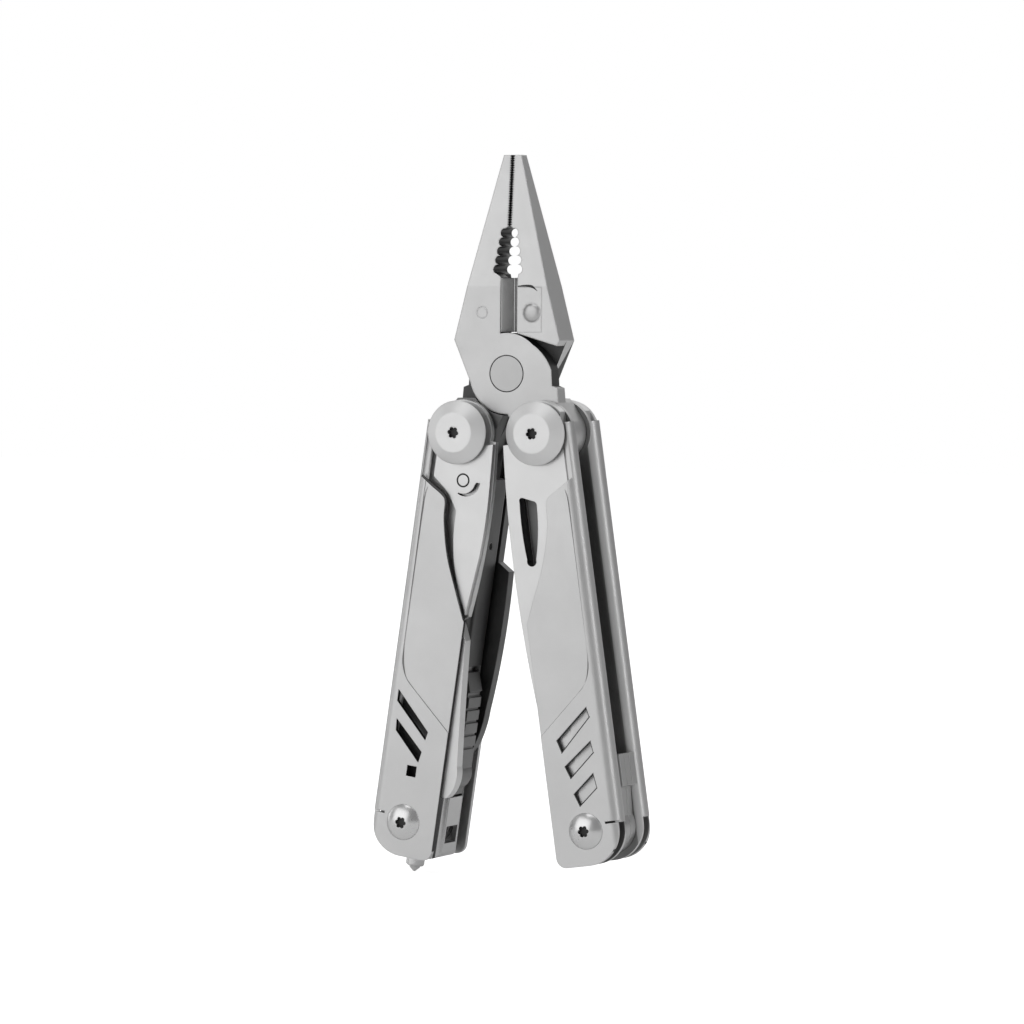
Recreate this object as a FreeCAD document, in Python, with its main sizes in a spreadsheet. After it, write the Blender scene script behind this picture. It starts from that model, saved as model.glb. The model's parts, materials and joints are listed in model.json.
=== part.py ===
import FreeCAD, Part
import math
import os
import Sketcher
from types import SimpleNamespace

# Multi tool with folding pliers, standing upright with its jaws up, in millimetres.
# The origin is under the middle of the tool, level with its lowest point. +Z is up, the front faces -Y.
# Every handle piece is drawn in its handle's own frame: the pivot is the origin, +X points out of the open
# channel, the handle hangs down -Z. The left handle is the right one turned half a turn about Z.

DIMENSIONS = {
    "hub_height": 115.72,         # pliers rivet above the ground
    "hub_half": 4.2,              # half thickness of the pliers head
    "rivet_radius": 4.1,
    "rivet_bore": 4.15,
    "hub_radius": 9.3,            # round edge of each half-lapped hub plate
    "hub_clearance": 0.3,         # between a hub plate and the full-thickness shoulders round it
    "jaw_length": 50.0,           # rivet to jaw tip
    "jaw_half_width": 13.2,
    "jaw_widest": 7.65,           # height of the widest place above the rivet
    "jaw_tip_width": 2.2,
    "jaw_tip_half": 1.4,          # half thickness at the tip
    "taper_start": 20.0,          # where the jaw starts to thin towards the tip
    "jaw_gap": 0.2,               # each jaw's distance from the middle plane
    "jaw_opening": 28.0,          # degrees
    "tooth_pitch": 0.54,
    "tooth_depth": 0.42,
    "pipe_top": 33.8,             # pipe grip, above the rivet
    "pipe_bottom": 22.8,
    "cutter_top": 22.0,
    "cutter_bottom": 9.4,
    "insert_top": 19.7,
    "insert_width": 8.6,
    "insert_gauge": 2.0,
    "insert_screw_out": 6.2,
    "insert_screw_up": 13.9,
    "insert_screw_radius": 2.3,
    "insert_shank_radius": 1.3,
    "pivot_out": 9.8,             # handle pivots, beside and below the rivet
    "pivot_drop": 13.5,
    "splay": 8.3,                 # degrees each handle leans from upright
    "eye_radius": 6.5,            # round end of each tang
    "axle_radius": 2.6,
    "axle_bore": 2.65,
    "screw_drop": 90.85,          # handle pivot to end screw
    "end_axle_radius": 2.2,
    "end_axle_bore": 2.25,
    "end_radius": 7.9,            # round end of the handle about the end screw
    "edge_inner": 8.15,
    "edge_outer": 8.6,
    "channel_half": 4.4,
    "sheet_gauge": 1.15,
    "slot_width": 3.1,
    "web_out": 8.0,               # web's outer face, inward of the pivot
    "web_bend": 2.15,             # outside radius between the web and a liner
    "roll_top": 1.7,              # rolled edge's top end above the pivot
    "ear_radius": 7.5,
    "disc_radius": 7.3,
    "disc_top_radius": 4.5,
    "disc_rise": 2.15,
    "disc_face": 12.0,            # pivot disc's outer face from the middle plane
    "boss_radius": 5.6,
    "dome_radius": 4.15,
    "dome_rise": 1.6,
    "recess_radius": 1.35,
    "recess_depth": 0.9,
    "play": 0.12,                 # side play between neighbouring layers
    "lever_top": 54.9,            # lock lever, below the pivot
    "lever_bottom": 83.6,
    "lever_width": 6.5,
    "lever_pin_drop": 69.0,
    "lever_pin_radius": 0.4,
    "lever_proud": 1.6,
    "stud_radius": 2.15,
    "tang_radius": 6.4,           # inner tools, round the end axle
}

PIN_OUT = -7.55                   # lock pin, inside the web's thickness
FRONT = -1
BACK = 1
RIGHT = 1
LEFT = -1
HUB_ARC_END = 46                  # degrees: where a hub plate's round edge runs out into its tang
SLOT = "(sizes.channel_half + sizes.sheet_gauge)"
WALL = "(sizes.channel_half + sizes.sheet_gauge + sizes.slot_width)"
OUTSIDE = "(sizes.channel_half + 2 * sizes.sheet_gauge + sizes.slot_width)"

doc = FreeCAD.newDocument("multi_tool")
sizes = doc.addObject("Spreadsheet::Sheet", "sizes")
for row, (name, number) in enumerate(DIMENSIONS.items(), start=1):
    sizes.set(f"A{row}", name)
    sizes.set(f"B{row}", str(number))
    sizes.setAlias(f"B{row}", name)
doc.recompute()
size = SimpleNamespace(**DIMENSIONS)
pieces = []


# ---------------------------------------------------------------- drawing helpers

def polar(radius, degrees, x=0.0, z=0.0):
    """Point at a radius and an angle about (x, z)."""
    turn = math.radians(degrees)
    return (x + radius * math.cos(turn), z + radius * math.sin(turn))


def arc(radius, start, end, x=0.0, z=0.0):
    """Outline steps for an arc about (x, z): its first point, then its middle and end."""
    middle = polar(radius, (start + end) / 2, x, z)
    return [polar(radius, start, x, z), (middle, polar(radius, end, x, z))]


def full_circle(radius, x=0.0, z=0.0):
    """Outline of a whole circle as two arcs."""
    return [polar(radius, 0, x, z),
            (polar(radius, 90, x, z), polar(radius, 180, x, z)),
            (polar(radius, 270, x, z), polar(radius, 360, x, z))]


def rectangle(x0, x1, z0, z1):
    return [(x0, z0), (x1, z0), (x1, z1), (x0, z1)]


def new_body(label):
    body = doc.addObject("PartDesign::Body", label)
    body.Label = label
    pieces.append(body)
    return body


def new_sketch(body, role="XZ_Plane", shift="0"):
    """Sketch on one of the body's own planes, moved along the plane's normal by an expression."""
    plane = next(item for item in body.Origin.OriginFeatures if item.Role == role)
    sketch = body.newObject("Sketcher::SketchObject", f"{body.Name}_sketch")
    sketch.AttachmentSupport = [(plane, "")]
    sketch.MapMode = "FlatFace"
    sketch.setExpression("AttachmentOffset.Base.z", shift)
    return sketch


def draw(sketch, path):
    """Closed outline. A step is a corner (x, y), or a pair (through, end) for an arc."""
    last = path[0]
    for step in path[1:] + [path[0]]:
        curved = isinstance(step[0], tuple)
        end = step[1] if curved else step
        if math.dist(last, end) < 1e-6:
            continue
        first = FreeCAD.Vector(*last, 0)
        final = FreeCAD.Vector(*end, 0)
        if curved:
            sketch.addGeometry(Part.Arc(first, FreeCAD.Vector(*step[0], 0), final))
        else:
            sketch.addGeometry(Part.LineSegment(first, final))
        last = end


def draw_circle(sketch, alias, x=0.0, z=0.0):
    """Circle whose radius is bound to a cell."""
    centre = FreeCAD.Vector(x, z, 0)
    number = sketch.addGeometry(Part.Circle(centre, FreeCAD.Vector(0, 0, 1), DIMENSIONS[alias]))
    rule = sketch.addConstraint(Sketcher.Constraint("Radius", number, DIMENSIONS[alias]))
    sketch.setExpression(f"Constraints[{rule}]", f"sizes.{alias}")


def fill(sketch, shape):
    """Draws an outline, or a circle given as the cell of its radius or (cell, x, z)."""
    if isinstance(shape, str):
        draw_circle(sketch, shape)
    elif isinstance(shape, tuple):
        draw_circle(sketch, *shape)
    else:
        draw(sketch, shape)


def plate(body, shape, near, thick, face=FRONT):
    """Flat plate parallel to the tool's face, from `near` outward by `thick` on one side of the middle."""
    sketch = new_sketch(body, "XZ_Plane", f"{-face} * ({near})")
    fill(sketch, shape)
    pad = body.newObject("PartDesign::Pad", f"{body.Name}_pad")
    pad.Profile = sketch
    pad.setExpression("Length", thick)
    pad.Reversed = face == BACK
    return pad


def cut(body, shape, near, thick, face=FRONT):
    """Removes an outline from `near` outward by `thick` on one side of the middle plane."""
    sketch = new_sketch(body, "XZ_Plane", f"{-face} * ({near})")
    fill(sketch, shape)
    pocket = body.newObject("PartDesign::Pocket", f"{body.Name}_pocket")
    pocket.Profile = sketch
    pocket.setExpression("Length", thick)
    pocket.Reversed = face == FRONT
    return pocket


def cut_through(body, shape, role="XZ_Plane", shift="0", width="40"):
    """Removes an outline evenly to both sides of a plane."""
    sketch = new_sketch(body, role, shift)
    fill(sketch, shape)
    pocket = body.newObject("PartDesign::Pocket", f"{body.Name}_pocket")
    pocket.Profile = sketch
    pocket.setExpression("Length", width)
    pocket.Midplane = True
    return pocket


def turned(body, profile):
    """Solid turned about the body's Y axis from a half profile of (radius, y) points."""
    sketch = new_sketch(body, "XY_Plane")
    draw(sketch, profile)
    revolution = body.newObject("PartDesign::Revolution", f"{body.Name}_turned")
    revolution.Profile = sketch
    revolution.ReferenceAxis = (sketch, ["V_Axis"])
    revolution.Angle = 360
    return revolution


def place_on_handle(body, side, down="0", out="0"):
    """Puts a piece in a handle's frame, its own origin `down` the handle and `out` towards its open side."""
    body.setExpression("Placement.Base.x", f"{side} * (sizes.pivot_out + ({down}) * sin(sizes.splay * 1 deg)"
                                           f" + ({out}) * cos(sizes.splay * 1 deg))")
    body.setExpression("Placement.Base.z", f"sizes.hub_height - sizes.pivot_drop"
                                           f" - ({down}) * cos(sizes.splay * 1 deg)"
                                           f" + ({out}) * sin(sizes.splay * 1 deg)")
    lean = FreeCAD.Rotation(FreeCAD.Vector(0, 1, 0), -side * size.splay)
    half_turn = FreeCAD.Rotation(FreeCAD.Vector(0, 0, 1), 0 if side == RIGHT else 180)
    body.Placement.Rotation = lean * half_turn


def place_on_head(body, side):
    """Puts a pliers-head piece at the rivet. The head's pieces are drawn for the left jaw."""
    body.setExpression("Placement.Base.z", "sizes.hub_height")
    body.Placement.Rotation = FreeCAD.Rotation(FreeCAD.Vector(0, 0, 1), 0 if side == LEFT else 180)


# ---------------------------------------------------------------- pliers head

def gripping_edge():
    """Left jaw's inner edge from its tip down to the cutter: fine teeth, then a scalloped pipe grip."""
    steps = [(-size.jaw_gap, size.jaw_length)]
    teeth = int((size.jaw_length - size.pipe_top) / size.tooth_pitch)
    for tooth in range(teeth):
        top = size.jaw_length - tooth * size.tooth_pitch
        steps.append((-size.jaw_gap - size.tooth_depth, top - size.tooth_pitch / 2))
        steps.append((-size.jaw_gap, top - size.tooth_pitch))
    scallops = 5
    first_crest, last_crest, scallop_depth = 0.95, 2.75, 0.85
    pitch = (size.pipe_top - 0.6 - size.pipe_bottom) / scallops
    steps.append((-first_crest, size.pipe_top - 0.6))
    for scallop in range(scallops):
        top = size.pipe_top - 0.6 - scallop * pitch
        crest = first_crest + (last_crest - first_crest) * (scallop + 1) / scallops
        steps.append(((-crest - scallop_depth, top - pitch / 2), (-crest, top - pitch)))
    return steps


def tang_edge():
    """Outer side and round end of the tang that carries the right handle."""
    eye = arc(size.eye_radius, 25, -165, size.pivot_out, -size.pivot_drop)
    return [(13.0, -6.5)] + eye


def shoulder_height(across):
    """Straight shoulder that clears the other jaw's plate at full opening, `across` from the middle."""
    tilt = math.radians(HUB_ARC_END + size.jaw_opening)
    return (size.hub_radius + size.hub_clearance - across * math.cos(tilt)) / math.sin(tilt)


def jaw(label, side, rivet_hole):
    """One jaw: full thickness where it bites and at its tang, half-lapped in front at the rivet."""
    body = new_body(label)
    place_on_head(body, side)
    front_wall, rear_wall = 1.6, 2.6
    outer_side = [(-size.jaw_half_width, size.jaw_widest), (-size.jaw_tip_width, size.jaw_length)]
    front = gripping_edge()
    front += [(-front_wall, size.cutter_top)]
    front += arc(size.hub_radius, 99.9, HUB_ARC_END)
    front += [((9.2, 4.3), (11.2, 0.9)), (11.4, -2.7), (12.7, -3.2)] + tang_edge()
    front += arc(size.hub_radius, 272, 193) + outer_side
    plate(body, front, "0", "sizes.hub_half", FRONT)

    rear = gripping_edge()
    rear += [(-rear_wall, size.cutter_top), (-rear_wall, shoulder_height(rear_wall))]
    rear += [(-12.5, shoulder_height(12.5))] + outer_side
    plate(body, rear, "0", "sizes.hub_half", BACK)

    shoulder = size.hub_radius + size.hub_clearance
    top_of_eye = polar(shoulder, -36)
    rear_tang = [top_of_eye, (12.2, top_of_eye[1])] + tang_edge() + arc(shoulder, -85, -36)
    plate(body, rear_tang, "0", "sizes.hub_half", BACK)

    for face in (-1, 1):
        wedge = [(face * size.hub_half, size.taper_start),
                 (face * size.jaw_tip_half, size.jaw_length),
                 (face * size.jaw_tip_half, size.jaw_length + 1),
                 (face * 6, size.jaw_length + 1),
                 (face * 6, size.taper_start)]
        cut_through(body, wedge, "YZ_Plane")
    cut_through(body, rivet_hole)
    cut_through(body, ("axle_bore", size.pivot_out, -size.pivot_drop))
    cut(body, insert_outline(), "sizes.hub_half - sizes.insert_gauge", "sizes.insert_gauge", BACK)
    cut_through(body, ("insert_shank_radius", -size.insert_screw_out, size.insert_screw_up))
    return body


def insert_outline():
    """Body of a cutter insert, let into the jaw's rear face."""
    return rectangle(-size.insert_width, -2.6, size.cutter_bottom + 0.1, size.insert_top)


def cutter_insert(label, side):
    """Replaceable wire cutter: a plate let into the jaw and a wedge edge between the jaws."""
    body = new_body(label)
    place_on_head(body, side)
    sketch = new_sketch(body, "XY_Plane", "sizes.cutter_bottom + 0.1")
    edge_half = 3.9
    draw(sketch, [(-1.6, -edge_half), (-0.12, 0.2), (-2.6, edge_half), (-2.6, 0), (-1.6, 0)])
    pad = body.newObject("PartDesign::Pad", f"{body.Name}_pad")
    pad.Profile = sketch
    pad.setExpression("Length", "sizes.cutter_top - sizes.cutter_bottom - 0.2")
    plate(body, insert_outline(), "sizes.hub_half - sizes.insert_gauge", "sizes.insert_gauge", BACK)
    cut_through(body, ("insert_screw_radius", -size.insert_screw_out, size.insert_screw_up))
    return body


def insert_screw(label, side):
    """Flush-headed screw that holds a cutter insert."""
    body = new_body(label)
    place_on_head(body, side)
    centre = (-size.insert_screw_out, size.insert_screw_up)
    head = ("insert_screw_radius", *centre)
    plate(body, head, "sizes.hub_half - sizes.insert_gauge", "sizes.insert_gauge", BACK)
    plate(body, ("insert_shank_radius", *centre), "-sizes.hub_half", "2 * sizes.hub_half", FRONT)
    return body


def hub_rivet():
    body = new_body("hub_rivet")
    place_on_head(body, LEFT)
    plate(body, "rivet_radius", "-sizes.hub_half", "2 * sizes.hub_half", FRONT)
    return body


# ---------------------------------------------------------------- handle frames

def folded_section():
    """Section of the folded sheet: web, two liners, and walls joined to the liners by rolled outer edges."""
    liner = size.channel_half
    slot = liner + size.sheet_gauge
    wall = slot + size.slot_width
    outside = wall + size.sheet_gauge
    roll_middle = (liner + outside) / 2
    roll = size.edge_outer - (outside - liner) / 2
    slot_end = roll + size.slot_width / 2
    web_inside = size.sheet_gauge - size.web_out
    bend = size.web_bend
    inner_bend = bend - size.sheet_gauge
    bow = 1 - math.sqrt(0.5)

    front_outside = [(-size.edge_inner, -outside), (roll, -outside),
                     ((size.edge_outer, -roll_middle), (roll, -liner)),
                     (web_inside + inner_bend, -liner),
                     ((web_inside + bow * inner_bend, bow * inner_bend - liner),
                      (web_inside, inner_bend - liner))]
    back = [(web_inside, liner - inner_bend),
            ((web_inside + bow * inner_bend, liner - bow * inner_bend),
             (web_inside + inner_bend, liner)),
            (roll, liner),
            ((size.edge_outer, roll_middle), (roll, outside)),
            (-size.edge_inner, outside),
            (-size.edge_inner, wall),
            (roll, wall),
            ((slot_end, roll_middle), (roll, slot)),
            (-size.web_out + bend, slot),
            ((-size.web_out + bow * bend, slot - bow * bend), (-size.web_out, slot - bend))]
    front_inside = [(-size.web_out, bend - slot),
                    ((-size.web_out + bow * bend, bow * bend - slot), (-size.web_out + bend, -slot)),
                    (roll, -slot),
                    ((slot_end, -roll_middle), (roll, -wall)),
                    (-size.edge_inner, -wall)]
    return front_outside + back + front_inside


def wall_notch():
    """Part of a wall cut away over the outboard tool, leaving a strip beside the rolled edge."""
    return [(7.5, 3.0), (7.5, -11.0), (1.2, -14.6), ((0.5, -15.6), (0.3, -17.0)), (0.1, -20.5),
            ((-1.9, -28.3), (-5.2, -36.0)), (-8.4, -43.3), (-10.0, -43.3), (-10.0, 3.0)]


def wall_panel():
    """Shallow panel pressed into a wall."""
    return [(6.2, -9.0), (5.9, -52.5), ((5.1, -56.3), (3.4, -58.8)), (-9.0, -69.2), (-9.0, -9.0)]


def end_outline():
    """What is trimmed away to leave the handle's round end."""
    drop = -size.screw_drop
    radius = size.end_radius
    corner = 2.5
    heel = arc(corner, 270, 180, -size.edge_inner + corner, drop - radius + corner)
    return ([(11.0, drop + 1.2), (radius, drop + 1.2)] + arc(radius, 0, -90, 0, drop) + heel
            + [(-11.0, drop - radius + corner), (-11.0, drop - 12), (11.0, drop - 12)])


TWO_SLOTS = [[(5.7, -60.7), (-3.1, -69.2), (-2.7, -71.2), (5.7, -63.4)],
             [(5.2, -67.4), (-2.2, -74.0), (-1.7, -76.6), (5.0, -70.2)],
             rectangle(-1.5, 0.9, -80.1, -77.6)]
THREE_SLOTS = [[(-4.3, -69.7), (3.9, -63.0), (4.4, -65.3), (-3.4, -72.6)],
               [(-3.1, -75.8), (3.9, -70.7), (4.3, -73.4), (-2.0, -78.6)],
               [(-1.7, -82.2), (3.6, -78.0), (4.1, -81.4), (-0.6, -85.1)]]


def cut_web(body, shape):
    """Removes an outline of (y, z) points from the web only."""
    sketch = new_sketch(body, "YZ_Plane", "-sizes.web_out - 1")
    fill(sketch, shape)
    pocket = body.newObject("PartDesign::Pocket", f"{body.Name}_pocket")
    pocket.Profile = sketch
    pocket.setExpression("Length", "sizes.sheet_gauge + 1.6")
    pocket.Reversed = True
    return pocket


def handle_frame(label, side):
    """Folded sheet handle: channel for the jaws and inner tools, a slot each side for an outboard tool."""
    body = new_body(label)
    place_on_handle(body, side)
    sketch = new_sketch(body, "XY_Plane", "sizes.roll_top")
    draw(sketch, folded_section())
    pad = body.newObject("PartDesign::Pad", f"{body.Name}_section")
    pad.Profile = sketch
    pad.setExpression("Length", "sizes.roll_top + sizes.screw_drop + sizes.end_radius")
    pad.Reversed = True

    web_top = 10.0
    cut_through(body, rectangle(-9.0, -5.85, -web_top, 3.0), "XZ_Plane", "0", f"2 * {SLOT}")
    for face in (FRONT, BACK):
        plate(body, "ear_radius", "sizes.channel_half", "sizes.sheet_gauge", face)
        cut(body, wall_notch(), WALL, "sizes.sheet_gauge + 0.5", face)
        cut(body, wall_panel(), f"{OUTSIDE} - 0.15", "0.5", face)
        slit = rectangle(5.0, 9.5, 1.2 - size.screw_drop, 1.7 - size.screw_drop)
        cut(body, slit, f"{WALL} - 0.3", "3", face)
        below_roll = rectangle(5.0, 9.5, -size.screw_drop - 9, 1.2 - size.screw_drop)
        cut(body, below_roll, SLOT, "sizes.slot_width", face)
    for outline in THREE_SLOTS:
        cut(body, outline, WALL, "sizes.sheet_gauge + 0.5", FRONT)
    for outline in TWO_SLOTS:
        cut(body, outline, WALL, "sizes.sheet_gauge + 0.5", BACK)
    cut_through(body, end_outline())

    lever_slot = size.lever_width / 2 + 0.25
    cut_web(body, rectangle(-lever_slot, lever_slot, -size.lever_bottom - 0.6, 1.4 - size.lever_top))
    cut_web(body, rectangle(-3.0, 3.0, -95.0, -91.0))
    cut_web(body, full_circle(0.9, 0.0, -25.5))
    cut_through(body, "axle_radius")
    cut_through(body, ("end_axle_radius", 0.0, -size.screw_drop))
    cut_through(body, ("lever_pin_radius", PIN_OUT, -size.lever_pin_drop), "XZ_Plane", "0", "9.8")
    return body


def round_bar(label, side, alias, length, down="0", out="0"):
    """Plain pin across a handle."""
    body = new_body(label)
    place_on_handle(body, side, down, out)
    plate(body, alias, f"-({length}) / 2", length)
    return body


def six_lobe(body, inner_face, face):
    """Six-lobed driver recess."""
    valley, tip = size.recess_radius * 0.72, size.recess_radius
    path = [polar(valley, -30)]
    for lobe in range(6):
        path.append((polar(tip, 60 * lobe), polar(valley, 60 * lobe + 30)))
    cut(body, path, f"{inner_face} - sizes.recess_depth", "sizes.recess_depth + 1", face)


def pivot_disc(label, side, face):
    """Bevelled disc on the handle pivot, with a smaller boss that bears on the outboard tool."""
    body = new_body(label)
    place_on_handle(body, side)
    boss = size.channel_half + size.sheet_gauge + size.slot_width
    base = size.disc_face - size.disc_rise
    rim = 0.45
    profile = [(0, boss), (size.boss_radius, boss), (size.boss_radius, base - rim),
               (size.disc_radius - 0.2, base - rim), (size.disc_radius, base),
               (size.disc_top_radius, size.disc_face), (0, size.disc_face)]
    turned(body, [(r, face * y) for r, y in profile])
    six_lobe(body, "sizes.disc_face", face)
    return body


def end_screw(label, side, face):
    """Domed head of the end axle, outside the wall."""
    body = new_body(label)
    place_on_handle(body, side, "sizes.screw_drop")
    base = size.channel_half + 2 * size.sheet_gauge + size.slot_width
    radius, rise = size.dome_radius, size.dome_rise
    ball = (radius ** 2 + rise ** 2) / (2 * rise)
    half_angle = math.asin(radius / ball) / 2
    middle = (ball * math.sin(half_angle), base + rise - ball + ball * math.cos(half_angle))
    crown = ((middle[0], face * middle[1]), (0, face * (base + rise)))
    turned(body, [(0, face * base), (radius, face * base), crown])
    six_lobe(body, f"({OUTSIDE} + sizes.dome_rise - 0.15)", face)
    return body


def end_spacers(label, side):
    """Rings on the end axle that keep the walls off the liners."""
    body = new_body(label)
    place_on_handle(body, side, "sizes.screw_drop")
    for face in (FRONT, BACK):
        plate(body, full_circle(4.2), SLOT, "sizes.slot_width", face)
    cut_through(body, "end_axle_radius")
    return body


def lock_lever(label, side):
    """Ridged lever in the web that holds the inner tools open; its nose is pressed inward."""
    body = new_body(label)
    place_on_handle(body, side)
    inside = size.sheet_gauge - size.web_out - 0.1
    crest = -size.web_out - 1.4
    ridges = 5
    ridge_pitch = 3.04
    groove = 0.45
    path = [(inside, -size.lever_top), (-size.web_out, -size.lever_top), (crest, -59.2)]
    for ridge in range(ridges):
        top = -59.9 - ridge * ridge_pitch
        path.append(((crest + groove, top - 0.35), (crest, top - 0.7)))
        path.append((crest, top - ridge_pitch))
    path += [(crest, -77.2), ((-size.web_out - size.lever_proud, -79.6), (-size.web_out, -82.2)),
             (-size.web_out, -size.lever_bottom), (inside, -size.lever_bottom)]
    plate(body, path, "-sizes.lever_width / 2", "sizes.lever_width")
    cut_through(body, full_circle(size.lever_pin_radius + 0.05, PIN_OUT, -size.lever_pin_drop))
    return body


def leaf_spring(label, side):
    """Thin leaf inside the web, behind the lever's top end."""
    body = new_body(label)
    place_on_handle(body, side)
    web_inside = size.sheet_gauge - size.web_out
    plate(body, rectangle(web_inside, web_inside + 0.3, -62.0, -46.0), "-1.6", "3.2")
    return body


# ---------------------------------------------------------------- outboard tools, pivoted with the handle

TANG_RADIUS = 7.5


def outboard_plate(label, side, face, path, near="0", thick="sizes.slot_width"):
    """Tool plate in a handle's slot, bored for the pivot axle."""
    body = new_body(label)
    place_on_handle(body, side)
    plate(body, path, f"{SLOT} + sizes.play + {near}", f"{thick} - 2 * sizes.play", face)
    cut_through(body, "axle_bore")
    return body


def knife():
    """Knife blade with a teardrop thumb hole; its spine stands out of the handle."""
    outline = [(-8.9, -1.6), ((-10.15, -33.0), (-8.1, -67.0)), (-5.6, -79.0),
               ((-4.2, -83.8), (0.0, -86.2)), (4.6, -86.2),
               ((6.0, -80.0), (6.2, -72.0))]
    outline += arc(TANG_RADIUS, 34, 192)
    body = outboard_plate("knife", RIGHT, FRONT, outline)
    teardrop = [(-6.6, -14.9), ((-6.35, -14.1), (-5.6, -14.1)), (-3.2, -15.1), ((-2.6, -15.5), (-2.45, -16.3)),
                ((-2.7, -20.0), (-4.3, -28.4)), ((-5.4, -29.8), (-6.5, -28.2)), ((-6.85, -21.0), (-6.6, -14.9))]
    cut_through(body, teardrop)
    grind_edge(body, FRONT, 6.5, -22.0, -88.0, 7.5)
    return body


def grind_edge(body, face, edge, top, bottom, width):
    """Bevels both sides of a blade down to a thin edge at its open-side border."""
    middle = size.channel_half + size.sheet_gauge + size.slot_width / 2
    half = size.slot_width / 2 - size.play
    thin = 0.15
    sketch = new_sketch(body, "XY_Plane", f"{top}")
    for way in (-1, 1):
        flat = face * (middle + way * half)
        draw(sketch, [(edge - width, flat), (edge + 0.2, face * (middle + way * thin)),
                      (edge + 0.2, face * (middle + way * (half + 0.5))),
                      (edge - width, face * (middle + way * (half + 0.5)))])
    pocket = body.newObject("PartDesign::Pocket", f"{body.Name}_grind")
    pocket.Profile = sketch
    pocket.Length = top - bottom
    return pocket


def saw():
    """Saw on the left handle's rear side: straight back, toothed open-side border."""
    outline = [(-7.9, -1.6), (-7.9, -29.4), (-10.9, -31.2), ((-11.1, -46.0), (-9.9, -64.0)),
               ((-8.8, -71.0), (-6.9, -75.8)), ((-5.6, -81.0), (-2.0, -83.0)), (4.6, -83.0)]
    tooth = 2.0
    count = 27
    for step in range(count):
        low = -83.0 + step * tooth
        outline.append((6.2, low + tooth * 0.35))
        outline.append((5.0, low + tooth))
    outline += [(6.2, -24.0)] + arc(TANG_RADIUS, 34, 192)
    body = outboard_plate("saw", LEFT, FRONT, outline)
    cut_through(body, [(-5.9, -14.0), (-2.5, -15.5), ((-2.9, -20.0), (-4.3, -28.4)),
                       ((-5.2, -29.6), (-6.1, -28.2)), ((-6.3, -21.0), (-6.2, -15.4))])
    return body


def file_blade():
    """File on the right handle's rear side, with coarse cuts straight across its outer face."""
    outline = [(-8.9, -1.6), ((-10.0, -40.0), (-9.2, -78.0)), ((-8.0, -83.0), (-3.0, -84.0)), (3.0, -84.0),
               (6.2, -80.0)]
    outline += arc(TANG_RADIUS, 34, 192)
    body = outboard_plate("file_blade", RIGHT, BACK, outline)
    for row in range(14):
        top = -38.0 - row * 3.0
        cut(body, rectangle(-9.4, 6.4, top - 0.5, top), f"{WALL} - sizes.play - 0.3", "0.6", BACK)
    return body


SCISSORS_RIVET = (-2.6, -10.7)
SCISSORS_RIVET_RADIUS = 1.35


def scissors_fixed_blade():
    """Rear plate of the scissors: tang and fixed blade, ending under the wall."""
    outline = [(-8.8, -0.9), (-9.6, -11.0), ((-9.6, -25.0), (-8.1, -41.6)), (-6.7, -42.6), (-3.5, -50.0),
               (-3.5, -58.0), ((2.6, -60.0), (5.2, -56.0)), (6.2, -44.0)]
    outline += arc(TANG_RADIUS, 34, 187)
    half_slot = "sizes.slot_width / 2 + sizes.play"
    body = outboard_plate("scissors_fixed_blade", LEFT, BACK, outline, "0", half_slot)
    cut_through(body, full_circle(SCISSORS_RIVET_RADIUS, *SCISSORS_RIVET))
    return body


def scissors_lever():
    """Round-ended lever of the scissors, slanting out past the handle's inner edge."""
    body = new_body("scissors_lever")
    place_on_handle(body, LEFT)
    outline = [(-6.9, -43.0), (-8.7, -47.0), (-9.7, -61.0), (-11.0, -76.0), ((-11.0, -80.6), (-9.6, -83.4)),
               ((-8.4, -83.6), (-7.6, -82.4)), (-3.5, -72.0), (-3.5, -50.5)]
    plate(body, outline, f"{SLOT} + sizes.play", "sizes.slot_width - 2 * sizes.play", BACK)
    return body


def scissors_rivet():
    body = new_body("scissors_rivet")
    place_on_handle(body, LEFT)
    plate(body, full_circle(SCISSORS_RIVET_RADIUS, *SCISSORS_RIVET), f"{SLOT} + sizes.play",
          "sizes.slot_width - 2 * sizes.play", BACK)
    return body


def scissors_moving_blade():
    """Front plate of the scissors, hung on a rivet below the pivot, with a hook-shaped spring slot."""
    rivet_x, rivet_z = SCISSORS_RIVET
    outline = [(-8.8, -1.4), (-9.3, -10.0), ((-9.6, -18.0), (-9.3, -27.0)), (-7.7, -41.2), (-7.2, -40.0),
               ((-3.2, -30.0), (-1.9, -18.0)), ((-0.3, -15.6), (1.6, -13.4)), (4.9, -10.9), (4.9, -5.2)]
    body = new_body("scissors_moving_blade")
    place_on_handle(body, LEFT)
    near = f"{SLOT} + sizes.slot_width / 2 + sizes.play"
    plate(body, outline, near, "sizes.slot_width / 2 - 2 * sizes.play", BACK)
    cut_through(body, full_circle(SCISSORS_RIVET_RADIUS + 0.05, rivet_x, rivet_z))
    hook = (arc(3.1, 190, 285, rivet_x, rivet_z) + [polar(3.35, 285, rivet_x, rivet_z)]
            + [(polar(3.9, 237, rivet_x, rivet_z), polar(4.3, 180, rivet_x, rivet_z)),
               polar(3.4, 180, rivet_x, rivet_z)])
    cut_through(body, hook)
    return body


# ---------------------------------------------------------------- inner tools, pivoted on the end axles

LAYERS = {"front": ("1.55", "2.6", FRONT), "middle": ("-1.3", "2.6", FRONT), "back": ("1.55", "2.6", BACK)}
OUTER_LAYERS = {"front": ("2.15", "2.1", FRONT), "back": ("2.15", "2.1", BACK)}


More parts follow.
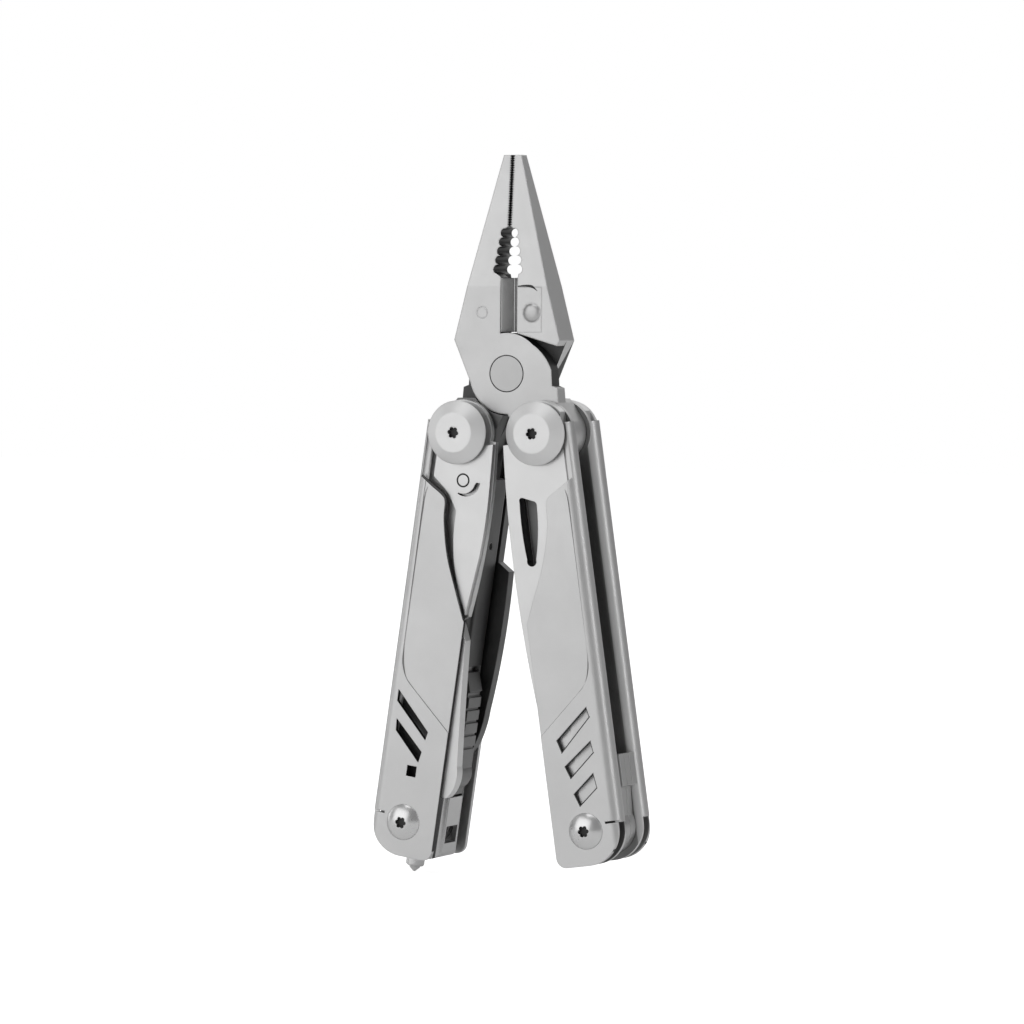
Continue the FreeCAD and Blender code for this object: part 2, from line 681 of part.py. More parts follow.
def inner_tool(label, side, layer, blade):
    """Tool folded into the channel: a round tang on the end axle, a square heel and a blade above it."""
    body = new_body(label)
    place_on_handle(body, side, "sizes.screw_drop")
    radius = size.tang_radius
    tang = arc(radius, 160, 380)
    heel = [(6.4, 8.6), (8.1, 9.0), (8.1, 16.3)]
    spine_foot = (-6.0, 3.0)
    plate(body, tang + heel + blade + [spine_foot], *layer)
    cut_through(body, "end_axle_bore")
    return body


def large_flat_driver():
    return inner_tool("large_flat_driver", RIGHT, LAYERS["back"],
                      [(4.6, 16.3), ((1.4, 17.2), (0.4, 19.6)), (0.4, 46.0), (-0.6, 50.0), (-5.0, 50.0),
                       (-6.0, 46.0)])


def bottle_opener():
    return inner_tool("bottle_opener", RIGHT, LAYERS["middle"],
                      [(5.0, 16.3), ((3.7, 17.5), (3.2, 20.0)), (3.0, 23.0), ((0.2, 25.4), (1.2, 29.0)),
                       ((3.0, 29.4), (3.6, 31.4)),
                       ((1.0, 38.0), (-3.0, 41.0)), (-6.0, 41.0)])


def awl():
    return inner_tool("awl", RIGHT, LAYERS["front"],
                      [(4.6, 16.3), ((1.2, 18.0), (0.2, 22.0)), (-1.0, 32.0), (-4.6, 47.0), (-6.0, 47.0)])


def can_opener():
    return inner_tool("can_opener", LEFT, OUTER_LAYERS["front"],
                      [(6.6, 16.3), ((5.4, 20.0), (2.6, 22.0)), ((0.6, 24.4), (2.2, 26.8)),
                       ((3.0, 31.0), (-2.0, 38.0)),
                       (-6.0, 38.0)])


def cross_head_driver():
    return inner_tool("cross_head_driver", LEFT, OUTER_LAYERS["back"],
                      [(4.6, 16.3), ((1.4, 17.4), (-0.2, 20.0)), (-1.2, 23.0), (-1.2, 43.0), (-3.0, 48.0),
                       (-4.2, 48.0),
                       (-6.0, 43.0)])


def glass_breaker():
    """Pointed stud that stands out of the left handle's end, on a tang round the end axle."""
    body = new_body("glass_breaker")
    place_on_handle(body, LEFT, "sizes.screw_drop")
    root = 6.6
    plate(body, [(-2.0, -root), (2.0, -root)] + arc(size.tang_radius, -60, 240), "-2", "4")
    sketch = new_sketch(body, "XZ_Plane")
    radius = size.stud_radius
    draw(sketch, [(0, -root + 0.5), (radius, -root + 0.5), (radius, -10.7), (radius - 0.3, -11.0),
                  (1.3, -11.1), (1.2, -11.5), (0.25, -12.4), (0, -12.4)])
    stud = body.newObject("PartDesign::Revolution", "glass_breaker_stud")
    stud.Profile = sketch
    stud.ReferenceAxis = (sketch, ["V_Axis"])
    stud.Angle = 360
    cut_through(body, "end_axle_radius")
    return body


# ---------------------------------------------------------------- the whole tool

def pliers_head():
    jaw("left_jaw", LEFT, "rivet_radius")
    jaw("right_jaw", RIGHT, "rivet_bore")
    hub_rivet()
    for name, side in (("left", LEFT), ("right", RIGHT)):
        cutter_insert(f"{name}_cutter_insert", side)
        insert_screw(f"{name}_insert_screw", side)


def handle(name, side):
    """One handle with its axles, heads, spacers and lock. `front` is the face that looks to -Y."""
    handle_frame(f"{name}_handle_frame", side)
    round_bar(f"{name}_pivot_axle", side, "axle_radius", f"2 * {WALL}")
    round_bar(f"{name}_end_axle", side, "end_axle_radius", f"2 * {OUTSIDE}", "sizes.screw_drop")
    for word, face in (("front", -side), ("rear", side)):
        pivot_disc(f"{name}_{word}_pivot_disc", side, face)
        end_screw(f"{name}_{word}_end_screw", side, face)
    end_spacers(f"{name}_end_spacers", side)
    lock_lever(f"{name}_lock_lever", side)
    round_bar(f"{name}_lock_pin", side, "lever_pin_radius", "9.8", "sizes.lever_pin_drop", f"{PIN_OUT}")
    leaf_spring(f"{name}_lock_spring", side)


def tools():
    knife()
    file_blade()
    saw()
    scissors_fixed_blade()
    scissors_moving_blade()
    scissors_lever()
    scissors_rivet()
    large_flat_driver()
    bottle_opener()
    awl()
    can_opener()
    cross_head_driver()
    glass_breaker()


def check_and_write():
    """Stops on any failed feature or bad solid, then writes one STEP file per piece."""
    doc.recompute()
    for item in doc.Objects:
        if "Invalid" in item.State or "Error" in item.State:
            raise RuntimeError(f"{item.Label} failed: {item.State}")
    for piece in pieces:
        if piece.Shape.isNull() or not piece.Shape.isValid() or piece.Shape.Volume <= 0:
            raise RuntimeError(f"{piece.Label} has no valid solid")
    os.makedirs("parts", exist_ok=True)
    for piece in pieces:
        piece.Shape.exportStep(f"parts/{piece.Label}.step")
        print(f"{piece.Label}: {piece.Shape.Volume:.0f} mm3 in {len(piece.Shape.Solids)} solid(s)")


pliers_head()
handle("left", LEFT)
handle("right", RIGHT)
tools()
check_and_write()
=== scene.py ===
import bmesh
import bpy
import json
import math
from mathutils import Matrix, Vector

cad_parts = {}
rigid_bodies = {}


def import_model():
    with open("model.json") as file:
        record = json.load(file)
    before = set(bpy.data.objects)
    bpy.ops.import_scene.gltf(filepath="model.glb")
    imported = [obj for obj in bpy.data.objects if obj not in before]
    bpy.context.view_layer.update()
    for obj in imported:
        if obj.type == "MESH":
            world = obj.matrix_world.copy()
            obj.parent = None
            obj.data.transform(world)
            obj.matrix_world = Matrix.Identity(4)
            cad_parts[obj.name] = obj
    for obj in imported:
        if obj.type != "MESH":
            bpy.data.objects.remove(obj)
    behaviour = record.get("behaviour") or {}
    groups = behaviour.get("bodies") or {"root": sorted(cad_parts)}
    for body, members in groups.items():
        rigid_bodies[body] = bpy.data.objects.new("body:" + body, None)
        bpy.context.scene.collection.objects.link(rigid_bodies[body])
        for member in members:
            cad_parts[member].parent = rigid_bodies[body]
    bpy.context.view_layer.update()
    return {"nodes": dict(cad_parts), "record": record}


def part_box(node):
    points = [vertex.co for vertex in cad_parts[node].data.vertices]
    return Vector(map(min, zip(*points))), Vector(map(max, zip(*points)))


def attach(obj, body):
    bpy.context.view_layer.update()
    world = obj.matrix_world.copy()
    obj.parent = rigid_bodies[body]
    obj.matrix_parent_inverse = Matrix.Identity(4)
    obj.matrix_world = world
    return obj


# Multi tool with folding pliers, all in bare steel. The shapes come from the CAD nodes; this script finishes
# their faces and adds the fine lines and caps that the CAD pieces leave out.

for thing in list(bpy.data.objects):
    bpy.data.objects.remove(thing)
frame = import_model()

MM = 0.001
NODES = frame["nodes"]
SLOTS = {part["node"]: part["material_slot"] for part in frame["record"]["subparts"]}
FRONT, BACK = -1, 1
SIDES = {"left": -1, "right": 1}


def middle(node):
    low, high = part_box(node)
    return (low + high) / 2


HUB = middle("hub_rivet")
HEAD_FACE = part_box("hub_rivet")[1].y            # half thickness of the pliers head
WALL_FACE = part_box("left_handle_frame")[1].y    # outer face of the handle walls
WALL_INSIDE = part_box("left_pivot_axle")[1].y
SHEET = 1.15 * MM                               # gauge of the handles' folded sheet
SLOT_FLOOR = WALL_FACE - SHEET - 3.1 * MM       # liner face behind an outboard tool
CHANNEL_HALF = SLOT_FLOOR - SHEET
DOME_RISE = 0.5 * (CHANNEL_HALF - HEAD_FACE)    # leaves room when the jaws fold into the channel

FLAT_ON = 0.9           # a face whose normal's Y is beyond this looks to the front or the rear
EDGE_ON = 0.3           # a face whose normal's Y is below this is a cut edge
TOUCH = 0.03 * MM       # faces closer than this lie in the same plane


class HandleFrame:
    """A handle's own plane: `out` points out of its open side, `up` along it, from the pivot."""

    def __init__(self, side):
        self.pivot = middle(f"{side}_pivot_axle")
        along = (self.pivot - middle(f"{side}_end_axle")).normalized()
        self.up = Vector((along.x, 0, along.z))
        self.out = Vector((SIDES[side] * along.z, 0, -SIDES[side] * along.x))

    def local(self, point):
        """(out, up) in millimetres."""
        offset = point - self.pivot
        return offset.dot(self.out) / MM, offset.dot(self.up) / MM

    def world(self, out, up, y):
        place = self.pivot + self.out * out * MM + self.up * up * MM
        return Vector((place.x, y, place.z))


HANDLES = {side: HandleFrame(side) for side in SIDES}


# ---------------------------------------------------------------- steel

def steel(name, tone, roughness, grain=0.25, drawn=1.0, mottle=0.02, wear=0.16, edge_radius=0.22):
    """Procedural steel: blasted or drawn grain, cloudy tone, smudges in the roughness, bright worn edges.

    `drawn` stretches the grain along the tool, 1 being even in all directions."""
    material = bpy.data.materials.new(name)
    material.use_nodes = True
    nodes = material.node_tree.nodes
    link = material.node_tree.links.new
    shader = nodes["Principled BSDF"]
    shader.inputs["Metallic"].default_value = 1.0
    where = nodes.new("ShaderNodeTexCoord")

    clouds = nodes.new("ShaderNodeTexNoise")
    clouds.inputs["Scale"].default_value = 70.0
    clouds.inputs["Detail"].default_value = 6.0
    link(where.outputs["Object"], clouds.inputs["Vector"])
    stretch = nodes.new("ShaderNodeMapping")
    stretch.inputs["Scale"].default_value = (1.0, 1.0, 1.0 / drawn)
    link(where.outputs["Object"], stretch.inputs["Vector"])
    fine = nodes.new("ShaderNodeTexNoise")
    fine.inputs["Scale"].default_value = 7000.0
    fine.inputs["Detail"].default_value = 2.0
    link(stretch.outputs["Vector"], fine.inputs["Vector"])

    colour = nodes.new("ShaderNodeValToRGB")
    low, high = colour.color_ramp.elements
    low.position, high.position = 0.3, 0.7
    low.color = (tone - mottle, tone - mottle, tone - mottle, 1)
    high.color = (tone + mottle, tone + mottle, tone + mottle, 1)
    link(clouds.outputs["Fac"], colour.inputs["Fac"])

    rounded = nodes.new("ShaderNodeBevel")
    rounded.samples = 4
    rounded.inputs["Radius"].default_value = edge_radius * MM
    surface = nodes.new("ShaderNodeNewGeometry")
    facing = nodes.new("ShaderNodeVectorMath")
    facing.operation = "DOT_PRODUCT"
    link(rounded.outputs["Normal"], facing.inputs[0])
    link(surface.outputs["Normal"], facing.inputs[1])
    edge = nodes.new("ShaderNodeMapRange")
    edge.inputs["From Min"].default_value = 0.985
    edge.inputs["From Max"].default_value = 0.8
    edge.inputs["To Min"].default_value = 0.0
    edge.inputs["To Max"].default_value = wear
    link(facing.outputs["Value"], edge.inputs["Value"])
    worn = nodes.new("ShaderNodeMix")
    worn.data_type = "RGBA"
    link(edge.outputs["Result"], worn.inputs["Factor"])
    link(colour.outputs["Color"], worn.inputs[6])
    worn.inputs[7].default_value = (0.93, 0.93, 0.93, 1)
    link(worn.outputs[2], shader.inputs["Base Color"])

    smudges = nodes.new("ShaderNodeTexNoise")
    smudges.inputs["Scale"].default_value = 160.0
    smudges.inputs["Detail"].default_value = 4.0
    smudges.inputs["Distortion"].default_value = 0.6
    link(where.outputs["Object"], smudges.inputs["Vector"])
    matt = nodes.new("ShaderNodeMapRange")
    matt.inputs["To Min"].default_value = roughness - 0.07
    matt.inputs["To Max"].default_value = roughness + 0.07
    link(smudges.outputs["Fac"], matt.inputs["Value"])
    link(matt.outputs["Result"], shader.inputs["Roughness"])

    bump = nodes.new("ShaderNodeBump")
    bump.inputs["Strength"].default_value = grain
    bump.inputs["Distance"].default_value = 0.02 * MM
    link(fine.outputs["Fac"], bump.inputs["Height"])
    link(rounded.outputs["Normal"], bump.inputs["Normal"])
    link(bump.outputs["Normal"], shader.inputs["Normal"])
    return material


FINISHES = {
    "jaw_steel": steel("blasted_jaw_steel", 0.58, 0.46, grain=0.35, edge_radius=0.5),
    "handle_steel": steel("satin_handle_steel", 0.58, 0.42, drawn=14.0),
    "polished_steel": steel("turned_disc_steel", 0.76, 0.55, grain=0.15, wear=0.05, edge_radius=0.5),
    "blade_steel": steel("satin_blade_steel", 0.64, 0.38, drawn=10.0),
    "cutter_steel": steel("ground_cutter_steel", 0.58, 0.46, grain=0.35),
    "lever_steel": steel("tumbled_lever_steel", 0.19, 0.42, grain=0.4),
    "inner_steel": steel("inner_tool_steel", 0.5, 0.36, drawn=6.0),
}
DOME = steel("polished_dome_steel", 0.66, 0.28, grain=0.06)
CAP = steel("insert_screw_steel", 0.5, 0.42, grain=0.2)
RIVET = steel("rivet_steel", 0.5, 0.46, grain=0.35, wear=0.0)
# painted shade: the saw gets a near-black steel for the shade it lies in between the handle's walls
SHADED_SAW = steel("saw_painted_shade_steel", 0.1, 0.36, drawn=8.0)
DARK = steel("unlit_recess_steel", 0.05, 0.5, wear=0.05, mottle=0.01)
# painted shade: the liner face seen through the slots is dark for the shade inside them
SLOT_FLOOR_SHADE = steel("slot_floor_painted_shade_steel", 0.16, 0.5, drawn=14.0, wear=0.05)
# painted shade: the faces inside the handles' channel are dark for the shade that falls there
CHANNEL_SHADE = steel("channel_painted_shade_steel", 0.26, 0.45, drawn=14.0, wear=0.1)
# painted shade: the handles' inner web is near black for the shade it lies in
WEB_SHADE = steel("web_painted_shade_steel", 0.11, 0.42, drawn=14.0)
TANG = steel("shaded_tang_steel", 0.2, 0.5, wear=0.08)
# painted shade: the jaws' toothed inner faces are near black for the shade between the jaws
GRIP_SHADE = steel("grip_painted_shade_steel", 0.05, 0.4, wear=0.04, mottle=0.01)
GROOVE = steel("groove_shadow_steel", 0.08, 0.5, wear=0.0, mottle=0.01)
# painted shade: the thin line along the panel's pressed border stands for the shadow of its step
PANEL_STEP_SHADE = steel("panel_step_painted_shade_steel", 0.3, 0.5, wear=0.0)


def repaint(name, material, test):
    """Gives a CAD node's faces a second steel where test(centre, normal) holds."""
    node = NODES[name]
    node.data.materials.append(material)
    index = len(node.data.materials) - 1
    for face in node.data.polygons:
        if test(face.center, face.normal):
            face.material_index = index


def finish_cad_nodes():
    """Gives every CAD piece its steel and softens its sharp edges."""
    # the saw's near-black steel is painted shade
    special = {"hub_rivet": RIVET, "saw": SHADED_SAW}
    for name, node in NODES.items():
        node.data.materials.clear()
        chosen = special.get(name, FINISHES[SLOTS[name]])
        if name.endswith("end_screw") or name == "glass_breaker":
            chosen = DOME
        node.data.materials.append(chosen)
        bevel = node.modifiers.new("soft_edges", "BEVEL")
        bevel.width = (0.2 if name.endswith("jaw") else 0.12) * MM
        bevel.segments = 2
        bevel.limit_method = "ANGLE"
        bevel.angle_limit = math.radians(32)
        bevel.harden_normals = True


TOOTHED_WIDTH = 3.9             # how far the jaws' inner faces reach from the middle line, mm
TOOTHED_START = 9.2             # height over the rivet where they begin
TIP_START = 45                  # height over which faces looking up belong to the tip
HUB_EDGE = (9.1, 12.2)          # distances from the rivet between which the hub plates end
HUB_EDGE_LOW = -10
TANG_TOP = -5.6                 # height below which the rear plate is a tang
TANG_REACH = 12.3               # distance from the middle line past which the tangs lie outside the hub


def darken_head():
    """Painted shade: the toothed inner faces, the lap faces behind the hub plates, the clearance round them
    and the right jaw's far tang get dark steels for the shade that falls on them.
    """
    for side, way in SIDES.items():
        def inner(centre, normal):
            across = way * centre.x / MM
            tip = normal.z > FLAT_ON and centre.z - HUB.z > TIP_START * MM
            return (0 < across < TOOTHED_WIDTH and abs(normal.y) < 0.5
                    and centre.z - HUB.z > TOOTHED_START * MM and not tip)

        def lap(centre, normal):
            return abs(centre.y) < 0.2 * MM and abs(normal.y) > FLAT_ON

        def clearance(centre, normal):
            height = (centre.z - HUB.z) / MM
            across = centre.x / MM
            near, far = HUB_EDGE
            plate_edge = near < math.hypot(across, height) < far and HUB_EDGE_LOW < height < TOOTHED_START
            outside = normal.x * centre.x > 0 and abs(across) > TANG_REACH
            return plate_edge and abs(normal.y) < EDGE_ON and not outside

        def far_tang(centre, normal):
            outer_face = centre.y > HEAD_FACE - 0.05 * MM
            return centre.z - HUB.z < TANG_TOP * MM and not outer_face

        jaw = f"{side}_jaw"
        if side == "right":
            # painted shade on the right jaw's far tang
            repaint(jaw, TANG, far_tang)
        # painted shade on the toothed inner faces
        repaint(jaw, GRIP_SHADE, inner)
        # painted shade on the lap faces and on the clearance round the hub plates
        repaint(jaw, GROOVE, lap)
        repaint(jaw, GROOVE, clearance)


WALL_OUT = 6.2                  # where the rolled edge begins, mm out from the pivot
WALL_END = -96.0                # height of the walls' lower end, from the pivot
LEVER_END = -84.5               # height of the lock lever's lower end


def darken_handles():
    """Painted shade: the cut edges of the walls, the liner seen through the slots, the web and the channel
    inside get darker steels than the outer faces, for the shade that falls there.
    """
    for side, plane in HANDLES.items():
        def wall_edge(centre, normal):
            out, up = plane.local(centre)
            inner_edge = -8.3 if side == "left" and centre.y < 0 else -8.05
            inside = inner_edge < out < WALL_OUT and WALL_END < up < 1.0
            return inside and abs(normal.y) < EDGE_ON and WALL_INSIDE < abs(centre.y) < WALL_FACE

        def slot_floor(centre, normal):
            return abs(normal.y) > FLAT_ON and abs(abs(centre.y) - SLOT_FLOOR) < TOUCH

        def channel(centre, normal):
            looks_in = abs(normal.y) > 0.5 or normal.dot(plane.out) > EDGE_ON
            return abs(centre.y) < CHANNEL_HALF + TOUCH and normal.y * centre.y <= 0 and looks_in

        def web(centre, normal):
            below_lever = plane.local(centre)[1] < LEVER_END
            return abs(centre.y) < SLOT_FLOOR and normal.dot(plane.out) < -EDGE_ON and not below_lever

        frame_name = f"{side}_handle_frame"
        repaint(frame_name, WEB_SHADE, web)
        repaint(frame_name, CHANNEL_SHADE, channel)
        repaint(frame_name, SLOT_FLOOR_SHADE, slot_floor)
        # the walls' cut edges get the near-black steel as painted shade
        repaint(frame_name, DARK, wall_edge)


DRIVER_RADIUS = 1.5             # driver recess, mm
THUMB_HOLE_ENDS = (-30.5, -13.5)
SPRING_SLOT_REACH = 4.5         # from the scissors' rivet


def darken_recesses():
    """Painted shade: driver recesses, the knife's and saw's thumb holes and the scissors' spring slot get a
    near-black steel inside, for the shade in them.
    """
    for side in SIDES:
        for word in ("front", "rear"):
            for kind, depth in (("pivot_disc", 0.1), ("end_screw", 0.5)):
                name = f"{side}_{word}_{kind}"
                axis = middle(name)
                face = max(abs(corner.y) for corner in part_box(name))

                def recess(centre, normal):
                    reach = math.hypot(centre.x - axis.x, centre.z - axis.z) / MM
                    return reach < DRIVER_RADIUS and abs(centre.y) < face - depth * MM

                repaint(name, DARK, recess)

    def hole(side, low, high):
        def test(centre, normal):
            out, up = HANDLES[side].local(centre)
            bottom, top = THUMB_HOLE_ENDS
            return abs(normal.y) < EDGE_ON and low < out < high and bottom < up < top
        return test

    rivet = middle("scissors_rivet")

    def spring_slot(centre, normal):
        reach = math.hypot(centre.x - rivet.x, centre.z - rivet.z) / MM
        return abs(normal.y) < EDGE_ON and reach < SPRING_SLOT_REACH

    repaint("knife", DARK, hole("right", -7.2, -2.3))
    repaint("saw", DARK, hole("left", -6.8, -2.3))
    repaint("scissors_moving_blade", DARK, spring_slot)


# ---------------------------------------------------------------- fine pieces

def new_piece(name, mesh, material, body):
    piece = bpy.data.objects.new(name, mesh)
    bpy.context.scene.collection.objects.link(piece)
    mesh.materials.append(material)
    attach(piece, body)


def lathe(name, centre, face, profile, material, body, steps=64):
    """Turned piece about a line along Y. The profile is (radius, height outward) in millimetres."""
    work = bmesh.new()
    rings = []
    for radius, height in profile:
        y = centre.y + face * height * MM
        if radius == 0:
            rings.append([work.verts.new((centre.x, y, centre.z))])
            continue
        rings.append([work.verts.new((centre.x + radius * MM * math.cos(turn), y,
                                      centre.z + radius * MM * math.sin(turn)))
                      for turn in (2 * math.pi * step / steps for step in range(steps))])
    for inner, outer in zip(rings, rings[1:]):
        for step in range(steps):
            after = (step + 1) % steps
            corners = ([inner[0]] if len(inner) == 1 else [inner[step], inner[after]])
            corners += [outer[0]] if len(outer) == 1 else [outer[after], outer[step]]
            work.faces.new(corners)
    bmesh.ops.recalc_face_normals(work, faces=work.faces)
    mesh = bpy.data.meshes.new(name)
    work.to_mesh(mesh)
    work.free()
    for face_item in mesh.polygons:
        face_item.use_smooth = True
    new_piece(name, mesh, material, body)


def smooth_line(points, per_span=8):
    """Catmull-Rom points through the given ones."""
    ends = [points[0] * 2 - points[1]] + list(points) + [points[-1] * 2 - points[-2]]
    line = []
    for before, start, end, after in zip(ends, ends[1:], ends[2:], ends[3:]):
        for step in range(per_span):
            t = step / per_span
            line.append(0.5 * (2 * start + (end - before) * t
                               + (2 * before - 5 * start + 4 * end - after) * t * t
                               + (3 * start - before - 3 * end + after) * t ** 3))
    return line + [points[-1]]


def engraved_line(name, points, widths, material, body, rise=0.03):
    """Low rounded ridge of changing width along points on a flat face parallel to the tool's front."""
    path = smooth_line(points)
    face = FRONT if path[0].y < 0 else BACK
    work = bmesh.new()
    rows = []
    for number, point in enumerate(path):
        ahead = path[min(number + 1, len(path) - 1)] - path[max(number - 1, 0)]
        across = Vector((-ahead.z, 0, ahead.x)).normalized()
        place = number / (len(path) - 1) * (len(widths) - 1)
        left = min(int(place), len(widths) - 2)
        width = widths[left] + (widths[left + 1] - widths[left]) * (place - left)
        row = []
        for reach, height in ((-0.5, -0.04), (-0.3, rise), (0.3, rise), (0.5, -0.04)):
            lift = Vector((0, face * height * MM, 0))
            row.append(work.verts.new(point + across * reach * width * MM + lift))
        rows.append(row)
    for first, second in zip(rows, rows[1:]):
        for step in range(4):
            after = (step + 1) % 4
            work.faces.new((first[step], first[after], second[after], second[step]))
    work.faces.new(rows[0])
    work.faces.new(rows[-1])
    bmesh.ops.recalc_face_normals(work, faces=work.faces)
    mesh = bpy.data.meshes.new(name)
    work.to_mesh(mesh)
    work.free()
    new_piece(name, mesh, material, body)


def head_point(across, up, face):
    return Vector((across * MM, face * HEAD_FACE, HUB.z + up * MM))


def rivet_rings():
    """Thin line round the rivet, low domes on the insert screws and the seams over the inserts."""
    for word, face in (("front", FRONT), ("rear", BACK)):
        centre = head_point(0, 0, face)
        ring = [(4.05, -0.05), (4.05, 0.02), (4.28, 0.02), (4.28, -0.05), (4.05, -0.05)]
        lathe(f"rivet_{word}_line", centre, face, ring, GROOVE, "fixed_jaw")
    for side, body, face in (("left", "fixed_jaw", BACK), ("right", "moving_jaw", FRONT)):
        screw = middle(f"{side}_insert_screw")
        centre = Vector((screw.x, face * HEAD_FACE, screw.z))
        rise = DOME_RISE / MM
        cap = [(0, rise), (0.9, 0.86 * rise), (1.6, 0.52 * rise), (2.05, 0.14 * rise),
               (2.2, -0.03), (0, -0.03)]
        lathe(f"{side}_insert_screw_dome", centre, face, cap, CAP, body)
        seam = [head_point(SIDES[side] * across, up, face)
                for across, up in ((2.75, 19.95), (4.6, 20.05), (6.3, 19.85), (7.6, 18.9))]
        engraved_line(f"{side}_insert_seam", seam, (0.3, 0.55, 0.75, 0.1), DARK, body)


PANEL_BORDER = [(5.5, -13.5), (5.95, -18.0), (6.0, -42.0), (5.9, -51.5), (4.9, -56.6), (3.2, -59.0),
                (-2.4, -63.7), (-8.0, -68.4)]
THREE_SLOTS = [[(-4.3, -69.7), (3.9, -63.0), (4.4, -65.3), (-3.4, -72.6)],
               [(-3.1, -75.8), (3.9, -70.7), (4.3, -73.4), (-2.0, -78.6)],
               [(-1.7, -82.2), (3.6, -78.0), (4.1, -81.4), (-0.6, -85.1)]]
NOTCH_EDGE = [(7.3, -11.1), (4.4, -12.8), (1.3, -14.6), (0.45, -16.2), (0.15, -20.5), (-1.8, -28.3),
              (-5.1, -36.0), (-7.9, -42.2)]


def notch_shadow():
    """Shadow gap along the wall's cut edge over the scissors."""
    plane = HANDLES["left"]
    line = [plane.world(out, up, FRONT * (WALL_FACE - 0.01 * MM)) for out, up in NOTCH_EDGE]
    engraved_line("scissors_notch_line", line, (0.55, 0.7, 0.75, 0.5, 0.3, 0.25, 0.2, 0.1), GROOVE,
                  "left_handle", rise=0.015)


def panel_lines():
    """Painted shade lines: a thin dark line along the pressed border of the panel on each wall for the shade
    of its step, and a dark line on the chamfer round each of the three slots for the shade there.
    """
    for side, plane in HANDLES.items():
        for word, face in (("front", FRONT), ("rear", BACK)):
            surface = face * (WALL_FACE - 0.02 * MM)
            line = [plane.world(out, up, surface) for out, up in PANEL_BORDER]
            engraved_line(f"{side}_{word}_panel_line", line, (0.05, 0.2, 0.22, 0.22, 0.24, 0.24, 0.2),
                          PANEL_STEP_SHADE, f"{side}_handle", rise=0.01)
        face = FRONT if side == "right" else BACK
        for number, outline in enumerate(THREE_SLOTS, start=1):
            for part, (start, end) in enumerate(zip(outline, outline[1:] + outline[:1]), start=1):
                width = 0.3 if part in (3, 4) else 0.22
                edge = [plane.world(start[0] + (end[0] - start[0]) * share,
                                    start[1] + (end[1] - start[1]) * share, face * WALL_FACE)
                        for share in (-0.02, 0.5, 1.02)]
                engraved_line(f"{side}_slot_{number}_edge_{part}", edge, (width, width), GROOVE,
                              f"{side}_handle", rise=0.012)


def scissors_ring():
    """Dark seam round the scissors' rivet."""
    rivet = middle("scissors_rivet")
    face = min(corner.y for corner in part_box("scissors_rivet"))
    ring = [(1.25, -0.05), (1.25, 0.03), (1.62, 0.03), (1.62, -0.05), (1.25, -0.05)]
    centre = Vector((rivet.x, face, rivet.z))
    lathe("scissors_rivet_line", centre, FRONT, ring, DARK, "scissors")


finish_cad_nodes()
darken_head()
darken_handles()
darken_recesses()
rivet_rings()
notch_shadow()
panel_lines()
scissors_ring()


# ---------------------------------------------------------------- floor, light, camera

def white_floor():
    """White as seen by the camera, pale grey in the steel's reflections."""
    bpy.ops.mesh.primitive_plane_add(size=6.0, location=(0, 0, 0))
    floor = bpy.context.object
    floor.name = "floor"
    material = bpy.data.materials.new("white_floor")
    material.use_nodes = True
    nodes, link = material.node_tree.nodes, material.node_tree.links.new
    plain = nodes["Principled BSDF"]
    seen = nodes.new("ShaderNodeBsdfPrincipled")
    for shader, glow in ((plain, 0.25), (seen, 0.86)):
        shader.inputs["Base Color"].default_value = (0.62, 0.62, 0.62, 1)
        shader.inputs["Roughness"].default_value = 0.9
        shader.inputs["Emission Color"].default_value = (1, 1, 1, 1)
        shader.inputs["Emission Strength"].default_value = glow
    path = nodes.new("ShaderNodeLightPath")
    mix = nodes.new("ShaderNodeMixShader")
    link(path.outputs["Is Camera Ray"], mix.inputs["Fac"])
    link(plain.outputs["BSDF"], mix.inputs[1])
    link(seen.outputs["BSDF"], mix.inputs[2])
    link(mix.outputs["Shader"], nodes["Material Output"].inputs["Surface"])
    floor.data.materials.append(material)


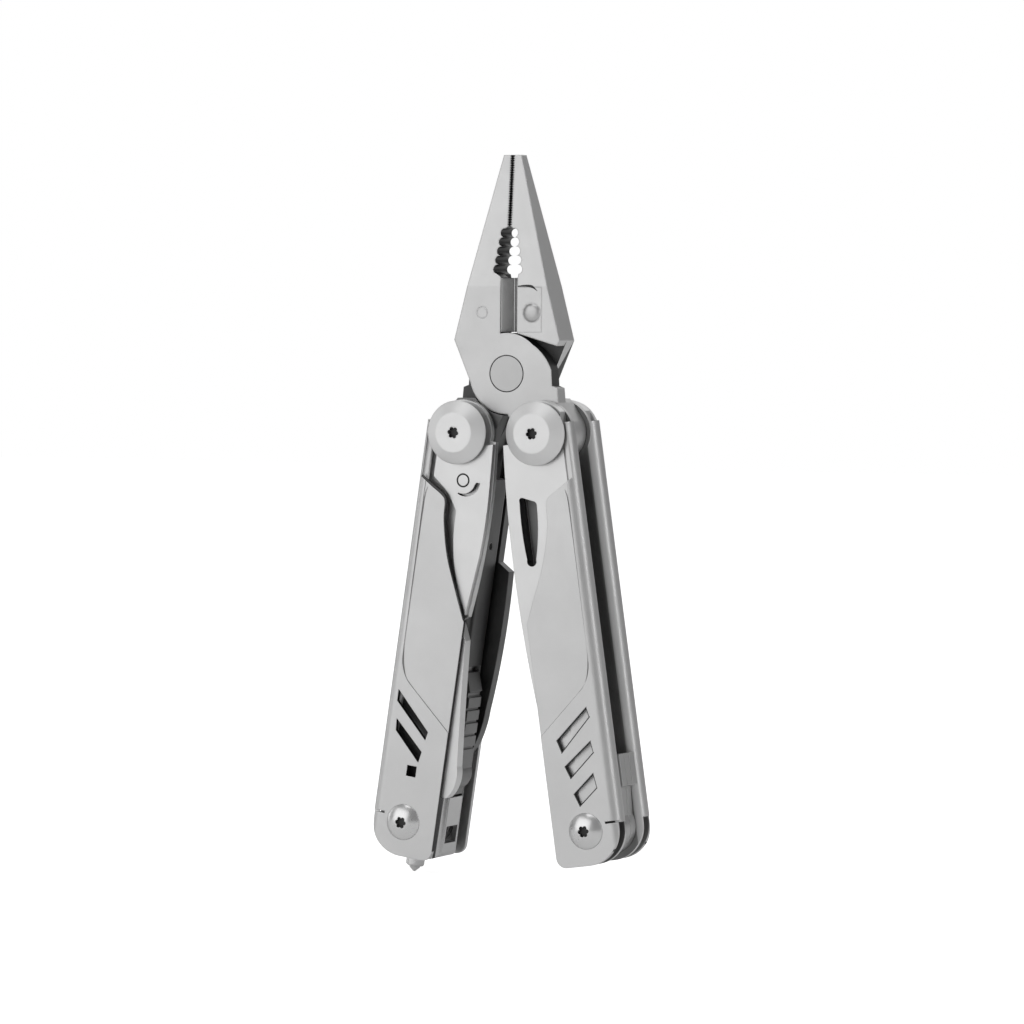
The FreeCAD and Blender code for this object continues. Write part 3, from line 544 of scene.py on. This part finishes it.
def softbox(name, azimuth, elevation, distance, size, glow):
    """A rectangular soft light of the given radiance, facing the tool."""
    turn, rise = math.radians(azimuth), math.radians(elevation)
    target = Vector((0, 0, 0.085))
    place = target + distance * Vector((math.sin(turn) * math.cos(rise), -math.cos(turn) * math.cos(rise),
                                        math.sin(rise)))
    data = bpy.data.lights.new(name, "AREA")
    data.shape = "RECTANGLE"
    data.size, data.size_y = size
    data.energy = glow * math.pi * size[0] * size[1]
    lamp = bpy.data.objects.new(name, data)
    bpy.context.scene.collection.objects.link(lamp)
    lamp.location = place
    lamp.rotation_euler = (target - place).to_track_quat("-Z", "Y").to_euler()


def backdrop():
    """White to the camera, grey to everything else, so the steel keeps its tone."""
    world = bpy.data.worlds.new("studio")
    bpy.context.scene.world = world
    world.use_nodes = True
    nodes, link = world.node_tree.nodes, world.node_tree.links.new
    soft = nodes["Background"]
    soft.inputs["Color"].default_value = (1, 1, 1, 1)
    soft.inputs["Strength"].default_value = 0.3
    seen = nodes.new("ShaderNodeBackground")
    seen.inputs["Color"].default_value = (1, 1, 1, 1)
    seen.inputs["Strength"].default_value = 1.0
    path = nodes.new("ShaderNodeLightPath")
    mix = nodes.new("ShaderNodeMixShader")
    link(path.outputs["Is Camera Ray"], mix.inputs["Fac"])
    link(soft.outputs["Background"], mix.inputs[1])
    link(seen.outputs["Background"], mix.inputs[2])
    link(mix.outputs["Shader"], nodes["World Output"].inputs["Surface"])


def camera():
    """Three-quarter front view with a long lens, a little above level, aimed below the rivet."""
    target = HUB + Vector((-0.3, 0, -31.8)) * MM
    azimuth, elevation, roll = (math.radians(degrees) for degrees in (24.3, 2.14, 0.34))
    distance = 1.186
    away = Vector((math.sin(azimuth) * math.cos(elevation), -math.cos(azimuth) * math.cos(elevation),
                   math.sin(elevation)))
    data = bpy.data.cameras.new("camera")
    data.sensor_width = 36
    data.lens = 181.6
    view = bpy.data.objects.new("camera", data)
    bpy.context.scene.collection.objects.link(view)
    look = (-away).to_track_quat("-Z", "Y").to_matrix().to_4x4()
    view.matrix_world = Matrix.Translation(target + away * distance) @ look @ Matrix.Rotation(roll, 4, "Z")
    bpy.context.scene.camera = view


white_floor()
backdrop()
softbox("front_left", -30, 12, 1.6, (2.2, 2.2), 1.04)
softbox("right_strip", 78, 10, 1.3, (0.22, 1.4), 2.9)
softbox("left_strip", -95, 12, 1.4, (0.3, 1.4), 1.4)
softbox("back", 185, 30, 1.8, (1.4, 1.0), 0.7)
softbox("overhead", 20, 82, 1.4, (1.2, 1.0), 1.3)
camera()
bpy.context.scene.view_settings.view_transform = "Standard"
